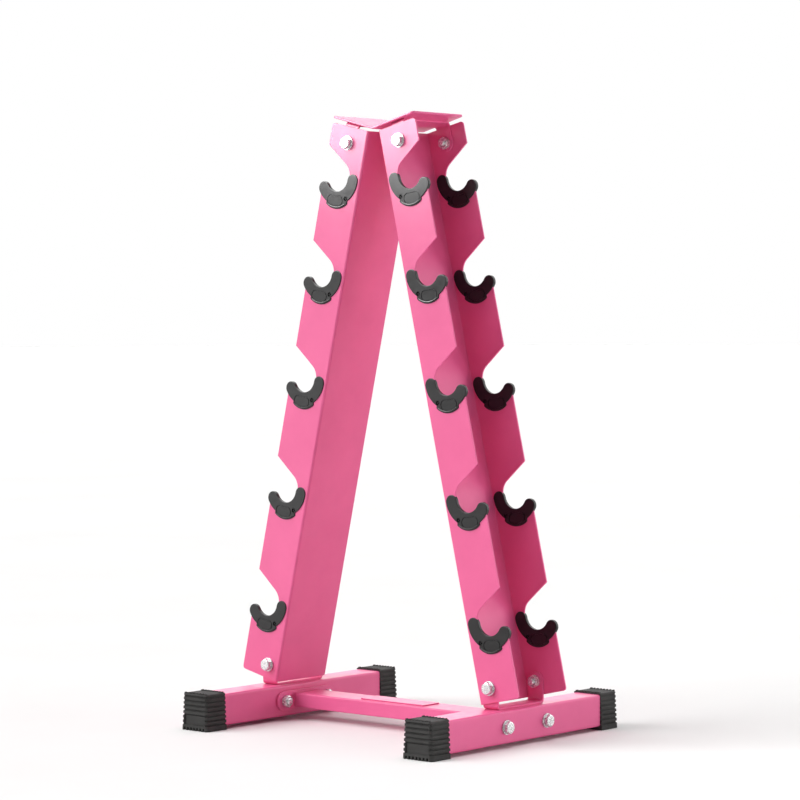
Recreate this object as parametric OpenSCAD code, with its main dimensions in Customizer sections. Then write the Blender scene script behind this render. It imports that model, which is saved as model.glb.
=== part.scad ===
// Five-tier A-frame dumbbell rack.
// X runs across the A, Y runs along the feet with the front at -Y, Z is up.
// The origin is on the floor under the centre of the rack. All sizes are millimetres.

/* [Uprights] */
// Length of each upright along its own axis
upright_length = 682; // [640:1:720]
// Lean of each upright from the vertical, in degrees
lean = 13; // [11:0.25:14]
// Distance from the middle of the rack to the top corner of each web
top_half_gap = 7.5; // [6:0.5:12]
// Width of each flange, from the back of the web to its free edge
flange_width = 58.5; // [56:0.5:62]
// Outer depth of the channel, over both flanges
channel_depth = 89; // [80:1:100]
// Thickness of the channel sheet
sheet = 2; // [1.5:0.1:2.5]
// Inner radius of the two bends along the channel
bend_radius = 1; // [0.5:0.1:1.2]
// Radius of the free corners at the ends of the flanges
corner_radius = 4; // [2:0.5:6]

/* [Notches] */
// Distance from the top of an upright to the centre of its first seat
first_seat = 62.4; // [58:0.1:66]
// Steps from each seat to the next one down
seat_steps = [116.5, 130, 138, 143.5]; // [110:0.5:146]
// Distance of each seat centre from the back of the web
seat_offset = 36; // [35:0.5:37]
// Radius of the seat cut in the flange
notch_radius = 18.5; // [17:0.25:19]
// Slope of the straight edge that leads into a seat, in degrees
notch_slope = 29; // [26:0.5:32]
// How far each seat is sunk below the circle that its straight edge meets
seat_drop = 1.9; // [0:0.1:3]

/* [Saddles] */
// Thickness of the plastic on the seat
seat_lining = 1.9; // [1.5:0.1:2.5]
// Thickness of each cheek of a saddle
cheek = 1.2; // [1:0.1:2]
// Width of a cheek, across the band that follows the seat
band_width = 15.9; // [14:0.1:16]
// How far the lower bulge stands out past the band
bulge = 4.7; // [3:0.1:5]
// Diameter of the peg that locates a saddle in its flange
peg_diameter = 5; // [3:0.1:5.5]

/* [Top plate] */
// Slope of each half of the top plate, in degrees
plate_slope = 14.5; // [14:0.25:15]
// Distance from the middle of the rack to each end of the top plate
plate_half_span = 63.5; // [58:0.5:70]
// Depth of the top plate
plate_depth = 93; // [89:1:100]
// Thickness of the top plate
plate_thickness = 2.5; // [2:0.1:3]
// Clearance between the tops of the uprights and the middle of the top plate
plate_gap = 2.2; // [0:0.1:4]

/* [Feet] */
// Outer side of the square foot tube
tube_side = 38; // [36:0.5:40]
// Wall of the foot tube
tube_wall = 1.5; // [1.2:0.1:2]
// Length of a foot over both end caps
foot_length = 346; // [320:1:380]
// Height of the tube above the floor
tube_lift = 4.4; // [3:0.1:6]
// Length of an end cap
cap_length = 33; // [28:1:36]
// Wall of an end cap beside the top of the tube
cap_wall = 1; // [0.8:0.1:2]

/* [Cross bar] */
// Width of the cross bar, front to back
bar_width = 42; // [36:1:46]
// Height of the cross bar
bar_height = 18; // [15:0.5:20]
// Wall of the cross bar
bar_wall = 1.5; // [1.2:0.1:2]
// Distance between the two bolts of an end plate
bar_bolt_pitch = 74; // [70:1:80]
// Thickness of an end plate
end_plate_thickness = 3; // [2:0.5:4]
// Length of the blank plate on the cross bar
name_plate_length = 100; // [60:1:140]
// Width of the blank plate on the cross bar
name_plate_width = 30; // [20:1:34]

/* [Brackets] */
// Width of the straps that carry the uprights at the top
top_strap_width = 20.5; // [18:0.5:22]
// Width of the straps that carry the uprights at the feet
foot_strap_width = 22; // [18:0.5:22]
// Thickness of all the straps
strap = 2.5; // [2:0.1:3]

/* [Fasteners] */
// Thread diameter of every bolt
bolt_diameter = 8; // [6:0.5:8]
// Clearance added to each bolt hole
hole_clearance = 0.5; // [0.3:0.1:1]
// Hex size across flats
across_flats = 13; // [10:0.5:13]

/* [Hidden] */
$fn = 64;
TIERS = 5;
SIDES = ["left", "right"];
FACES = ["front", "back"];
SADDLES = [for (side = SIDES, face = FACES, tier = [1:TIERS]) str("saddle_", side, "_", face, "_", tier)];
FRAME = [
    "left_upright", "right_upright", "top_plate", "left_top_bracket", "right_top_bracket",
    "left_foot_bracket", "right_foot_bracket", "left_foot_tube", "right_foot_tube",
    "front_left_cap", "front_right_cap", "back_left_cap", "back_right_cap",
    "cross_bar", "left_end_plate", "right_end_plate", "name_plate"
];
FASTENERS = [
    "top_bolts", "top_washers", "top_nuts", "foot_bolts", "foot_washers", "foot_nuts",
    "bar_bolts", "bar_washers", "bar_nuts"
];

pink = [0.96, 0.47, 0.67];
black = [0.16, 0.16, 0.16];
zinc = [0.80, 0.81, 0.82];

eps = 0.01;
far = 200;

// Bolts through the flanges, in the frame of an upright: out from the web, down from the top
top_bolt = [flange_width / 2, 19.5];
foot_bolt = [18, upright_length - 17];
leg_gap = 1.8;
half_channel = channel_depth / 2;
inner_half = half_channel - sheet;

// Heights, worked up from the floor
tube_top = tube_lift + tube_side;
upright_top = tube_top + strap + leg_gap + upright_length * cos(lean);
plate_z = upright_top + plate_gap;
bar_z = tube_lift + tube_side / 2;

// Place in the rack of a point in the frame of the right upright
function place(p) = [
    top_half_gap + p[1] * sin(lean) + p[0] * cos(lean),
    upright_top - p[1] * cos(lean) + p[0] * sin(lean)
];
top_bolt_at = place(top_bolt);
foot_bolt_at = place(foot_bolt);
foot_x = foot_bolt_at[0];
end_plate_x = foot_x - tube_side / 2 - end_plate_thickness;

// Seats: distance down from the top of the upright to each seat centre
function seat_down(tier) = tier == 1 ? first_seat : seat_down(tier - 1) + seat_steps[tier - 2];
function polar(radius, angle) = [radius * sin(angle), -radius * cos(angle)];
lip_radius = 4.7;
lip_angle = asin((flange_width - lip_radius - seat_offset) / (notch_radius + lip_radius));
notch_rise = (notch_radius + (flange_width - seat_offset) * sin(notch_slope)) / cos(notch_slope);

// Saddle outline, as radii and angles about the seat centre, zero pointing down the upright
lining_radius = notch_radius - seat_lining;
band_outer = lining_radius + band_width;
band_middle = lining_radius + band_width / 2;
bulge_outer = band_outer + bulge;
inner_horn = -91;
outer_horn = 48.8;
bulge_from = -39;
bulge_to = 19;
bulge_corner = 2.5;
peg_angle = -39.6;
peg_at = polar(29, peg_angle);
panel_middle = 28.1;
panel_half = 6.5;
panel_from = -17;
panel_to = 7;
panel_depth = 0.3;
saddle_width = sheet + 2 * cheek;

// Fastener sizes that follow from the thread
head_height = bolt_diameter * 0.66;
nut_height = bolt_diameter * 0.8;
washer_radius = bolt_diameter * 1.05;
washer_thickness = 1.6;
hole = bolt_diameter + hole_clearance;
hex_radius = across_flats / 2 / cos(30);
thread_tail = 3;

// ---- placing helpers ----

// Puts its children in the frame of one upright: X out from the web, Z up along the upright
module on_upright(side) {
    mirror([side == "left" ? 1 : 0, 0, 0])
        translate([top_half_gap, 0, upright_top])
            rotate([0, -lean, 0]) children();
}

// Mirrors its right-hand children to the left when asked
module on_side(side) {
    mirror([side == "left" ? 1 : 0, 0, 0]) children();
}

// Turns a flat outline (X out, Y up) into a slab that spans y = from .. from + thickness
module slab(from, thickness) {
    translate([0, from + thickness, 0])
        rotate([90, 0, 0])
            linear_extrude(thickness) children();
}

// Wedge of the plane between two angles measured from straight down
module wedge(from, to, radius) {
    steps = 8;
    polygon(concat([[0, 0]], [for (i = [0:steps]) polar(radius, from + (to - from) * i / steps)]));
}

// Ring cut down to a range of angles
module arc_band(inner, outer, from, to) {
    intersection() {
        difference() {
            circle(outer, $fn = 128);
            circle(inner, $fn = 128);
        }
        wedge(from, to, outer * 2);
    }
}

module rounded_box_2d(size, radius) {
    translate([-size[0] / 2 + radius, -size[1] / 2])
        square([size[0] - 2 * radius, size[1]]);
    translate([-size[0] / 2, -size[1] / 2 + radius])
        square([size[0], size[1] - 2 * radius]);
    for (x = [-1, 1], y = [-1, 1])
        translate([x * (size[0] / 2 - radius), y * (size[1] / 2 - radius)]) circle(radius);
}

// ---- uprights ----

// The opening that one notch cuts in a flange, about its seat centre
module notch() {
    reach = flange_width - seat_offset;
    normal = [sin(notch_slope), -cos(notch_slope)];
    tangent_point = [0, seat_drop] - notch_radius * normal;
    vertex = [reach, notch_rise + seat_drop];
    beyond = vertex + 10 * [1, tan(notch_slope)];
    lip = polar(notch_radius + lip_radius, lip_angle);
    difference() {
        union() {
            circle(notch_radius, $fn = 128);
            translate([0, seat_drop]) circle(notch_radius, $fn = 128);
            translate([-notch_radius, 0]) square([notch_radius + reach / 2, seat_drop]);
            polygon([[0, 0], [0, seat_drop], tangent_point, vertex, beyond, [beyond[0], lip[1]], lip]);
        }
        translate(lip) circle(lip_radius);
    }
}

// Flat side view of a flange: X out from the web, Y up, top at zero
module flange_outline() {
    difference() {
        union() {
            translate([0, -upright_length])
                square([flange_width - corner_radius, upright_length]);
            translate([0, corner_radius - upright_length])
                square([flange_width, upright_length - 2 * corner_radius]);
            for (y = [-corner_radius, corner_radius - upright_length])
                translate([flange_width - corner_radius, y]) circle(corner_radius);
        }
        for (tier = [1:TIERS])
            translate([seat_offset, -seat_down(tier)]) {
                notch();
                translate(peg_at) circle(d = peg_diameter + 0.2);
            }
        for (p = [top_bolt, foot_bolt])
            translate([p[0], -p[1]]) circle(d = hole);
    }
}

// Channel section seen along the upright: web at X = 0, open towards +X
module channel_section() {
    outer_bend = bend_radius + sheet;
    difference() {
        union() {
            translate([outer_bend, -half_channel])
                square([flange_width - outer_bend, channel_depth]);
            translate([0, outer_bend - half_channel])
                square([flange_width, channel_depth - 2 * outer_bend]);
            for (y = [-1, 1])
                translate([outer_bend, y * (half_channel - outer_bend)]) circle(outer_bend);
        }
        translate([outer_bend, -inner_half])
            square([flange_width, 2 * inner_half]);
        translate([sheet, bend_radius - inner_half])
            square([flange_width, 2 * (inner_half - bend_radius)]);
        for (y = [-1, 1])
            translate([outer_bend, y * (inner_half - bend_radius)]) circle(bend_radius);
    }
}

module upright(side) {
    color(pink) on_upright(side)
        intersection() {
            translate([0, 0, -upright_length])
                linear_extrude(upright_length) channel_section();
            slab(-half_channel, channel_depth) flange_outline();
        }
}

// ---- saddles ----

// Outline of one cheek about the seat centre
module cheek_outline() {
    arc_band(lining_radius, band_outer, inner_horn, outer_horn);
    for (angle = [inner_horn, outer_horn])
        translate(polar(band_middle, angle)) circle(band_width / 2);
    corner_turn = asin(bulge_corner / (bulge_outer - bulge_corner));
    arc_band(band_middle, (bulge_outer - bulge_corner) * cos(corner_turn), bulge_from, bulge_to);
    arc_band(band_middle, bulge_outer, bulge_from + corner_turn, bulge_to - corner_turn);
    for (angle = [bulge_from + corner_turn, bulge_to - corner_turn])
        translate(polar(bulge_outer - bulge_corner, angle)) circle(bulge_corner);
}

// Bent stadium that is pressed into the lower part of each cheek
module panel_outline() {
    arc_band(panel_middle - panel_half, panel_middle + panel_half, panel_from, panel_to);
    for (angle = [panel_from, panel_to])
        translate(polar(panel_middle, angle)) circle(panel_half);
}

// One saddle, in the frame of its upright, clipped over a flange on the given face
module saddle(side, face, tier) {
    flange_from = face == "front" ? -half_channel : inner_half;
    from = flange_from - cheek;
    color(black) on_upright(side)
        difference() {
            translate([seat_offset, 0, -seat_down(tier)])
                difference() {
                    slab(from, saddle_width) cheek_outline();
                    slab(from - eps, panel_depth + eps) panel_outline();
                    slab(from + saddle_width - panel_depth, panel_depth + eps) panel_outline();
                }
            difference() {
                slab(flange_from, sheet) flange_outline();
                translate([seat_offset, 0, -seat_down(tier)])
                    slab(flange_from - eps, sheet + 2 * eps)
                        translate(peg_at) circle(d = peg_diameter);
            }
        }
}

// ---- top plate and its brackets ----

// Frame of the right half of the top plate: X up the slope, Z out of its upper face
module on_plate(side) {
    on_side(side) translate([0, 0, plate_z]) rotate([0, -plate_slope, 0]) children();
}

module top_plate() {
    half_length = plate_half_span / cos(plate_slope);
    edge = 5;
    color(pink) union() {
        for (side = SIDES)
            on_plate(side)
                intersection() {
                    translate([half_length / 2, 0, 0])
                        linear_extrude(plate_thickness)
                            union() {
                                rounded_box_2d([half_length, plate_depth], edge);
                                translate([-half_length / 2 - edge, -plate_depth / 2])
                                    square([half_length / 2 + edge, plate_depth]);
                            }
                    // Mitre in the middle plane of the rack
                    rotate([0, plate_slope, 0])
                        translate([0, -plate_depth, -far])
                            cube([far, 2 * plate_depth, 2 * far]);
                }
    }
}

// Distance of the top bolt below the plate, and its place along the slope
bolt_under_plate = (top_bolt_at[0] * tan(plate_slope) + plate_z - top_bolt_at[1]) * cos(plate_slope);
bolt_along_plate = top_bolt_at[0] / cos(plate_slope) - bolt_under_plate * tan(plate_slope);

// U strap: base up to Z = 0, two tabs hanging to a bolt hole at Z = -reach, round tab ends
module hanging_strap(width, reach) {
    difference() {
        intersection() {
            translate([-width / 2, 0, 0])
                rotate([90, 0, 90])
                    linear_extrude(width)
                        difference() {
                            translate([-inner_half, -reach - width])
                                square([2 * inner_half, reach + width]);
                            translate([strap - inner_half, -reach - width - 1])
                                square([2 * (inner_half - strap), reach + width + 1 - strap]);
                        }
            slab(-inner_half, 2 * inner_half)
                union() {
                    translate([-width / 2, -reach]) square([width, reach]);
                    translate([0, -reach]) circle(width / 2);
                }
        }
        slab(-half_channel, channel_depth) translate([0, -reach]) circle(d = hole);
    }
}

module top_bracket(side) {
    color(pink) on_plate(side)
        translate([bolt_along_plate, 0, 0]) hanging_strap(top_strap_width, bolt_under_plate);
}

module foot_bracket(side) {
    color(pink) on_side(side)
        translate([foot_x, 0, tube_top])
            mirror([0, 0, 1]) hanging_strap(foot_strap_width, foot_bolt_at[1] - tube_top);
}

// ---- feet ----

module bar_bolt_holes(length) {
    for (y = [-1, 1])
        translate([0, y * bar_bolt_pitch / 2, 0])
            rotate([0, 90, 0]) cylinder(d = hole, h = length, center = true);
}

cap_end = 4;
tube_length = foot_length - 2 * cap_end;

module foot_tube(side) {
    radius = 3;
    color(pink) on_side(side)
        translate([foot_x, 0, bar_z])
            difference() {
                rotate([90, 0, 0])
                    linear_extrude(tube_length, center = true)
                        difference() {
                            rounded_box_2d([tube_side, tube_side], radius);
                            rounded_box_2d([tube_side - 2 * tube_wall, tube_side - 2 * tube_wall],
                                radius - tube_wall);
                        }
                bar_bolt_holes(2 * tube_side);
            }
}

// Cap that closes one tube end: a sleeve with a floor pad, wider at its base
module end_cap(side, face) {
    top = tube_top + 3;
    half_top = tube_side / 2 + cap_wall;
    half_base = half_top + 2.2;
    chamfer = 2;
    panel = [33, 1.8, 11.4];
    panel_z = 7;
    groove = [2 * half_base, 0.8, 1.2];
    groove_count = 8;
    first_groove = 1.5;
    groove_pitch = 5.5;
    outline = [
        [-half_base, 0], [half_base, 0], [half_top, top - chamfer], [half_top - chamfer, top],
        [chamfer - half_top, top], [-half_top, top - chamfer]
    ];
    color(black) on_side(side) mirror([0, face == "back" ? 1 : 0, 0])
        translate([foot_x, -foot_length / 2, 0])
            difference() {
                translate([0, cap_length, 0]) rotate([90, 0, 0])
                    linear_extrude(cap_length) polygon(outline);
                // Socket for the tube
                translate([-tube_side / 2, cap_end, tube_lift])
                    cube([tube_side, cap_length, tube_side]);
                // Blank panel sunk in the end face
                translate([-panel[0] / 2, -eps, panel_z]) cube([panel[0], panel[1] + eps, panel[2]]);
                // Grooves across the end face, which leave the ribs standing
                for (i = [0:groove_count - 1])
                    translate([-half_base, -eps, first_groove + i * groove_pitch])
                        cube(groove + [0, eps, 0]);
            }
}

// ---- cross bar ----

module cross_bar() {
    radius = 2;
    color(pink) translate([0, 0, bar_z]) rotate([90, 0, 90])
        linear_extrude(2 * end_plate_x, center = true)
            difference() {
                rounded_box_2d([bar_width, bar_height], radius);
                rounded_box_2d([bar_width - 2 * bar_wall, bar_height - 2 * bar_wall], radius - bar_wall);
            }
}

module end_plate(side) {
    end_radius = 12;
    length = bar_bolt_pitch + 28;
    color(pink) on_side(side) translate([end_plate_x, 0, bar_z])
        difference() {
            rotate([90, 0, 90]) linear_extrude(end_plate_thickness)
                union() {
                    square([length - 2 * end_radius, 2 * end_radius], center = true);
                    for (y = [-1, 1])
                        translate([y * (length / 2 - end_radius), 0]) circle(end_radius);
                }
            bar_bolt_holes(4 * end_plate_thickness);
        }
}

module name_plate() {
    thickness = 1.5;
    color(pink) translate([0, 0, bar_z + bar_height / 2])
        linear_extrude(thickness) rounded_box_2d([name_plate_length, name_plate_width], 2);
}

// ---- fasteners: axis along -Z, underside of the head at Z = 0 ----

module hex_bolt(length) {
    cylinder(r = hex_radius, h = head_height, $fn = 6);
    translate([0, 0, -length]) cylinder(d = bolt_diameter, h = length + eps);
}

module washer() {
    difference() {
        cylinder(r = washer_radius, h = washer_thickness);
        translate([0, 0, -1]) cylinder(d = bolt_diameter, h = washer_thickness + 2);
    }
}

module hex_nut() {
    difference() {
        cylinder(r = hex_radius, h = nut_height, $fn = 6);
        translate([0, 0, -1]) cylinder(d = bolt_diameter, h = nut_height + 2);
    }
}

// Places children on the outer face of each flange at a point given in the rack, heads outwards
module at_flanges(at) {
    for (side = SIDES, face = FACES)
        on_side(side) mirror([0, face == "back" ? 1 : 0, 0])
            translate([at[0], -half_channel, at[1]]) rotate([90, 0, 0]) rotate(30) children();
}

// Places children on the outer face of each foot tube at the cross-bar bolts, heads outwards
module at_tubes() {
    for (side = SIDES, y = [-1, 1])
        on_side(side) translate([foot_x + tube_side / 2, y * bar_bolt_pitch / 2, bar_z])
            rotate([0, 90, 0]) children();
}

flange_grip = sheet + strap;
bar_grip = tube_side + end_plate_thickness;

module flange_bolts(at) {
    color(zinc) at_flanges(at) translate([0, 0, washer_thickness])
        hex_bolt(washer_thickness + flange_grip + nut_height + thread_tail);
}

module flange_washers(at) {
    color(zinc) at_flanges(at) washer();
}

module flange_nuts(at) {
    color(zinc) at_flanges(at) translate([0, 0, -flange_grip - nut_height]) hex_nut();
}

module bar_bolts() {
    color(zinc) at_tubes() translate([0, 0, washer_thickness])
        hex_bolt(washer_thickness + bar_grip + nut_height + thread_tail);
}

module bar_washers() {
    color(zinc) at_tubes() washer();
}

module bar_nuts() {
    color(zinc) at_tubes() translate([0, 0, -bar_grip - nut_height]) hex_nut();
}

// ---- nodes ----

for (side = SIDES) {
    upright(side);
    top_bracket(side);
    foot_bracket(side);
    foot_tube(side);
    end_plate(side);
    for (face = FACES)
        end_cap(side, face);
    for (face = FACES, tier = [1:TIERS])
        saddle(side, face, tier);
}
top_plate();
cross_bar();
name_plate();
flange_bolts(top_bolt_at);  // top_bolts
flange_washers(top_bolt_at);  // top_washers
flange_nuts(top_bolt_at);  // top_nuts
flange_bolts(foot_bolt_at);  // foot_bolts
flange_washers(foot_bolt_at);  // foot_washers
flange_nuts(foot_bolt_at);  // foot_nuts
bar_bolts();
bar_washers();
bar_nuts();
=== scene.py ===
"""Looks of a five-tier A-frame dumbbell rack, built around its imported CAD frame.

X runs across the A, Y along the feet with the front at -Y, Z is up, and the floor is Z = 0.
Shapes are worked out in millimetres and turned into metres where their meshes are made.
"""

import math

import bmesh
import bpy
import numpy as np
from mathutils import Matrix, Vector, geometry


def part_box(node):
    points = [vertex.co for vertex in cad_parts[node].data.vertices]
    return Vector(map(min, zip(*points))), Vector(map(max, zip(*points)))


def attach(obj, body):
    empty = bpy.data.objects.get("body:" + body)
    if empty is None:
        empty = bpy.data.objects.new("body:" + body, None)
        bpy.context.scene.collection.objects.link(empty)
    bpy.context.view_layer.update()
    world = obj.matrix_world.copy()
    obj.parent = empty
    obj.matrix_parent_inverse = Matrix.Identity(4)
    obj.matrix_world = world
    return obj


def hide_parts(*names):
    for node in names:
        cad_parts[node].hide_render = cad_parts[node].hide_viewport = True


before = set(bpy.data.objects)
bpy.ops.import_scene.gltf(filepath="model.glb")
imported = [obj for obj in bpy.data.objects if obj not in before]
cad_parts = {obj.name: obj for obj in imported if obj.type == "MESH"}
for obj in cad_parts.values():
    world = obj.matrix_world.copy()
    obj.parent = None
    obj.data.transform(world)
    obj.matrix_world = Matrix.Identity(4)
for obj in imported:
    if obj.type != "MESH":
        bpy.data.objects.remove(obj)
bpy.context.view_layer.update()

MM = 0.001
SIDES = ("left", "right")
FACES = ("front", "back")
TIERS = 5
HALF_TURN = math.pi
HOLE_STEPS = 32

# Uprights, in the frame of a leg: t out from the back of the web, s down from the top
LEG_LENGTH = 682.0
LEAN = math.radians(13.0)
TOP_HALF_GAP = 7.5
FLANGE = 58.5
CHANNEL = 89.0
SHEET = 2.0
SHEET_EDGE = 0.35
BEND_MIDDLE = 2.0
BEND_OUTER = 3.0
FREE_CORNER = 4.0
SEAT_DOWN = np.cumsum([62.4, 116.5, 130.0, 138.0, 143.5])
SEAT_OUT = 36.0
SEAT_DROP = 1.9
NOTCH = 18.5
NOTCH_SLOPE = math.radians(29.0)
LIP = 4.7
LIP_ANGLE = math.degrees(math.asin((FLANGE - LIP - SEAT_OUT) / (NOTCH + LIP)))
NOTCH_START = math.degrees(NOTCH_SLOPE) - 180
NOTCH_RISE = (
    SEAT_DROP + (NOTCH + (FLANGE - SEAT_OUT) * math.sin(NOTCH_SLOPE)) / math.cos(NOTCH_SLOPE))
TOP_BOLT = (FLANGE / 2, 19.5)
FOOT_BOLT = (18.0, LEG_LENGTH - 17.0)

# Feet, straps and cross bar
TUBE = 38.0
TUBE_LIFT = 4.4
TUBE_TOP = TUBE_LIFT + TUBE
BAR_Z = TUBE_LIFT + TUBE / 2
STRAP = 2.5
STRAP_BEND = 2.5
STRAP_EDGE = 0.45
TOP_STRAP_WIDTH = 20.5
FOOT_STRAP_WIDTH = 22.0
LEG_GAP = 1.8
UPRIGHT_TOP = TUBE_TOP + STRAP + LEG_GAP + LEG_LENGTH * math.cos(LEAN)
BAR_PITCH = 74.0
END_PLATE = 3.0
END_PLATE_LENGTH = BAR_PITCH + 28.0
END_PLATE_WIDTH = 24.0
END_PLATE_EDGE = 0.5
NAME_PLATE_CORNER = 2.0
NAME_PLATE_EDGE = 0.35

# Saddles, about the seat centre; angles in degrees, zero pointing down the leg
LINING = 16.6
BAND = 15.9
BAND_OUTER = LINING + BAND
BAND_MIDDLE = LINING + BAND / 2
BULGE_OUTER = BAND_OUTER + 4.7
BULGE_SWELL = 0.2
BULGE_SAG = 2.0
INNER_HORN = -91.0
OUTER_HORN = 48.8
BULGE_FROM = -39.0
BULGE_TO = 19.0
CHEEK = 1.2
SADDLE_WIDTH = SHEET + 2 * CHEEK
SADDLE_EDGE = 0.8
SLOT_PLAY = 0.04
# Peg through the flange, with a ring sunk round its middle
PEG = 2.9
PEG_RADIUS = 29.0
PEG_ANGLE = -39.6
PEG_PLAY = 0.1
PEG_CORE = 0.8
PEG_SUNK = 2.0
# Line sunk round the panel of a cheek
PANEL_MIDDLE = 28.1
PANEL_HALF = 6.5
PANEL_TURN = (-17.0, 7.0)
PANEL_LINE = 0.95
PANEL_SUNK = 0.9
# Bead inside the lower edge of the bulge, as its radius and its distance from that edge
BEAD = 0.85
BEAD_INSET = 2.0
BEAD_MARGIN = 5.0

# Fasteners
BOLT = 8.0
HOLE = 8.5
FLATS = 13.0
HEAD = BOLT * 0.66
NUT = BOLT * 0.8
WASHER_RADIUS = BOLT * 1.05
WASHER = 1.6
TAIL = 3.0
THREAD_PITCH = 1.25
THREAD_DEPTH = 0.77
HEX_CHAMFER = math.tan(math.radians(30))

# Top plate
PLATE_SLOPE = math.radians(14.5)
PLATE_HALF_SPAN = 63.5
PLATE_DEPTH = 93.0
PLATE = 2.5
PLATE_GAP = 2.2
PLATE_CORNER = 5.0
PLATE_VALLEY = 7.0
PLATE_EDGE = 0.8
PLATE_Z = UPRIGHT_TOP + PLATE_GAP

# End caps, about the middle of the tube, with the end face at Y = 0
CAP_LENGTH = 33.0
CAP_HALF_TOP = 20.0
CAP_HALF_BASE = 22.2
CAP_TOP = TUBE_TOP + 3.0
CAP_CORNER = 4.5
CAP_EDGE = 2.0
CAP_END = 4.0
CAP_LEAST_WALL = 0.2
CAP_LEVEL_STEP = 0.25
# Share of the draft that the end face takes
CAP_END_DRAFT = 0.55
SOCKET_PLAY = 0.1
SOCKET_CORNER = 2.9
# Slant at the foot of a cap, as its height and its depth
CAP_FOOT = (0.7, 0.5)
# Grooves round a cap, which leave ribs standing; on the end face they start above its panel
GROOVE = 1.9
GROOVE_PITCH = 5.5
GROOVE_START = 18.6
GROOVE_SHARE = 0.46
GROOVES_FROM = 5.0
END_GROOVES_FROM = 18.0
# Panel sunk in the end face
END_PANEL_HALF = 16.3
END_PANEL_Z = (6.8, 18.4)
END_PANEL_SUNK = 1.8
# Teeth at the base of the end face, as count, pitch, half width, depth and height
TEETH = (7, 5.2, 1.4, 3.4, 3.8)
# Lengthwise ribs on top, as count, pitch and width; how far they rise and dip, and their round
TOP_RIBS = (8, 4.7, 2.6)
RIB_HEIGHT = 1.3
RIB_DIP = 1.05
RIB_ROUND = 0.45
RIB_ROOT = 0.6


# ---- plane outlines ----

def polar(radius, angle):
    """Point at a radius and an angle in degrees about a seat: zero is down, 90 is outwards."""
    a = math.radians(angle)
    return (radius * math.sin(a), -radius * math.cos(a))


def arc(centre, radius, start, end, step=4.0):
    """Points of an arc about centre, from one polar angle to another, in degrees."""
    count = max(2, math.ceil(abs(end - start) / step))
    return [
        tuple(np.add(centre, polar(radius, start + (end - start) * i / count)))
        for i in range(count + 1)
    ]


def circle(centre, radius, count=48):
    """Closed circle."""
    return arc(centre, radius, 0, 360 - 360 / count, 360 / count)


def rounded_rect(width, height, radius, centre=(0.0, 0.0), step=11.25):
    """Closed rectangle with round corners."""
    x, y = width / 2 - radius, height / 2 - radius
    out = []
    for sx, sy, start in ((1, -1, 0), (1, 1, 90), (-1, 1, 180), (-1, -1, 270)):
        out += arc((centre[0] + sx * x, centre[1] + sy * y), radius, start, start + 90, step)
    return out


def stadium(length, width, centre=(0.0, 0.0)):
    """Closed bar with half-round ends along the first axis."""
    return rounded_rect(length, width, width / 2 - 0.001, centre, 7.5)


def tidy_loop(points):
    """Array of the loop without repeated points."""
    p = np.array(points, float)
    keep = np.linalg.norm(p - np.roll(p, 1, 0), axis=1) > 1e-4
    return p[keep]


def signed_area(p):
    """Area of a loop, positive when it runs anticlockwise."""
    q = np.roll(p, -1, 0)
    return 0.5 * float(np.sum(p[:, 0] * q[:, 1] - q[:, 0] * p[:, 1]))


def turned(points, ccw):
    """The loop with the asked direction of travel."""
    p = tidy_loop(points)
    return p if (signed_area(p) > 0) == ccw else p[::-1]


def inset(p, distance):
    """Moves a loop towards its left by a distance, with mitred corners."""
    e = np.roll(p, -1, 0) - p
    e /= np.linalg.norm(e, axis=1)[:, None]
    n = np.stack([-e[:, 1], e[:, 0]], 1)
    before = np.roll(n, 1, 0)
    m = (n + before) / (1 + np.sum(n * before, 1))[:, None]
    return p + m * distance


# ---- sheet metal ----

class Path:
    """Middle line of a bent sheet: straight lengths and (radius, degrees) turns, left positive."""

    CREASE_STEP = 11.25

    def __init__(self, start, heading, parts):
        self.pieces = []
        self.creases = []
        x, y, h, u = start[0], start[1], math.radians(heading), 0.0
        for part in parts:
            if isinstance(part, tuple):
                radius, turn = part[0], math.radians(part[1])
                length = radius * abs(turn)
                side = 1 if turn > 0 else -1
                cx, cy = x - side * radius * math.sin(h), y + side * radius * math.cos(h)
                self.pieces.append((u, length, (cx, cy), h, side, radius))
                steps = max(2, math.ceil(abs(part[1]) / self.CREASE_STEP))
                self.creases += [u + length * i / steps for i in range(steps + 1)]
                h += turn
                x, y = cx + side * radius * math.sin(h), cy - side * radius * math.cos(h)
            else:
                length = part
                self.pieces.append((u, length, (x, y), h, 0, 0.0))
                x, y = x + length * math.cos(h), y + length * math.sin(h)
            u += length
        self.length = u

    def at(self, u):
        """Point and left normal at a distance along the path."""
        for start, length, base, h, side, radius in self.pieces:
            if u <= start + length + 1e-9 or start + length >= self.length - 1e-9:
                d = u - start
                if side == 0:
                    x, y = base[0] + d * math.cos(h), base[1] + d * math.sin(h)
                    return (x, y), (-math.sin(h), math.cos(h))
                a = h + side * d / radius
                x = base[0] + side * radius * math.sin(a)
                y = base[1] - side * radius * math.cos(a)
                return (x, y), (-math.sin(a), math.cos(a))
        raise ValueError("distance lies off the path")


def lie_inside(points, loops):
    """Tells which points have an odd number of loops around them."""
    inside = np.zeros(len(points), bool)
    for p in loops:
        for a, b in zip(p, np.roll(p, -1, 0)):
            crosses = (a[1] > points[:, 1]) != (b[1] > points[:, 1])
            if abs(b[1] - a[1]) > 1e-12:
                x = a[0] + (points[:, 1] - a[1]) * (b[0] - a[0]) / (b[1] - a[1])
                inside ^= crosses & (points[:, 0] < x)
    return inside


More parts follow.
